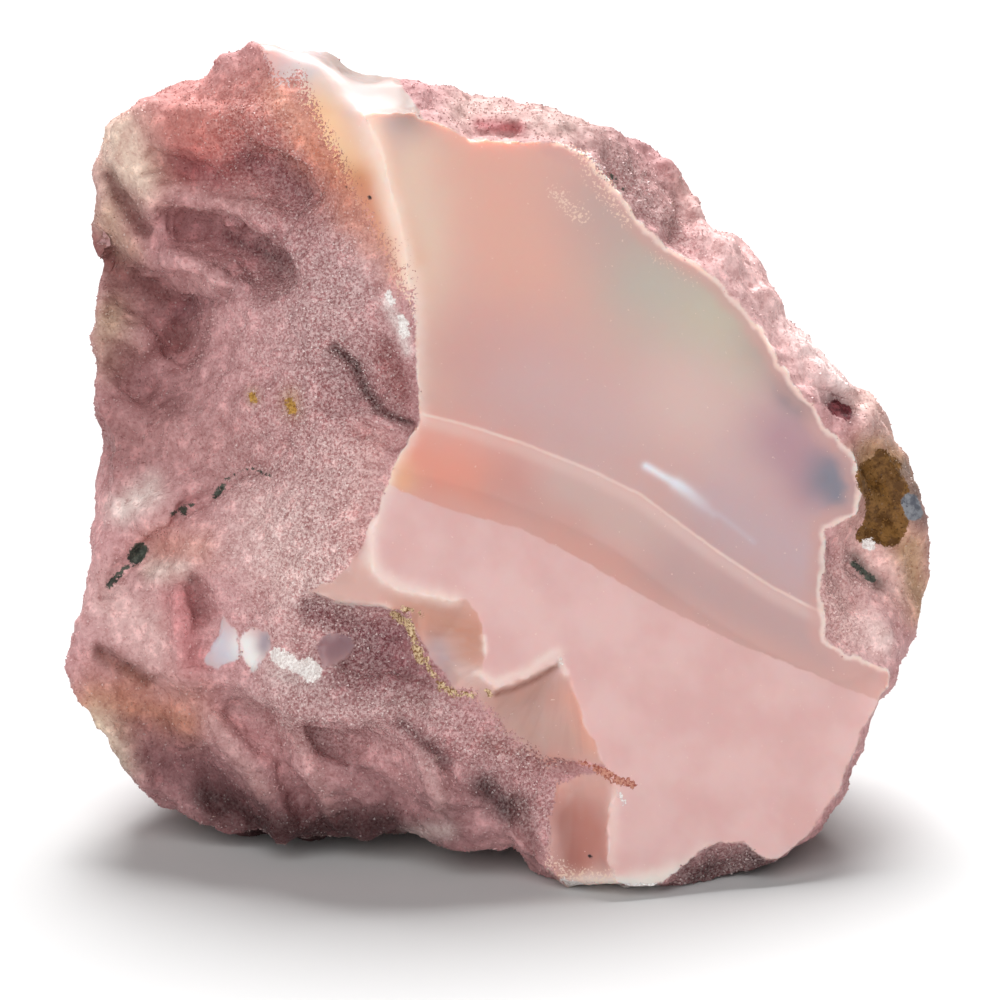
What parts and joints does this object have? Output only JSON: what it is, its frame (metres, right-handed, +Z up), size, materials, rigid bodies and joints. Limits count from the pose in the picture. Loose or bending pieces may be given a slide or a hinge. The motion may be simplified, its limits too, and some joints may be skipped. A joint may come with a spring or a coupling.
{
  "type": "rough opal specimen",
  "caption": "Rough pink opal specimen: one broken lump of stone with a smooth milky opal face set in grainy mauve rock, lying on a small flat foot.",
  "frame": {"origin": "middle of the bounding box's base, on the surface the stone lies on", "axes": "+Z up as it lies, -Y out of the opal's broken face towards the camera, +X to the right as seen from there"},
  "size_m": [0.0446, 0.0326, 0.0408],
  "materials": {
    "pink_opal_rock": "stone: milky pink opal with a waxy sheen on the broken face, dull grainy mauve rock elsewhere"
  },
  "bodies": {
    "root": {"rough_opal": "pink_opal_rock"}
  },
  "joints": []
}
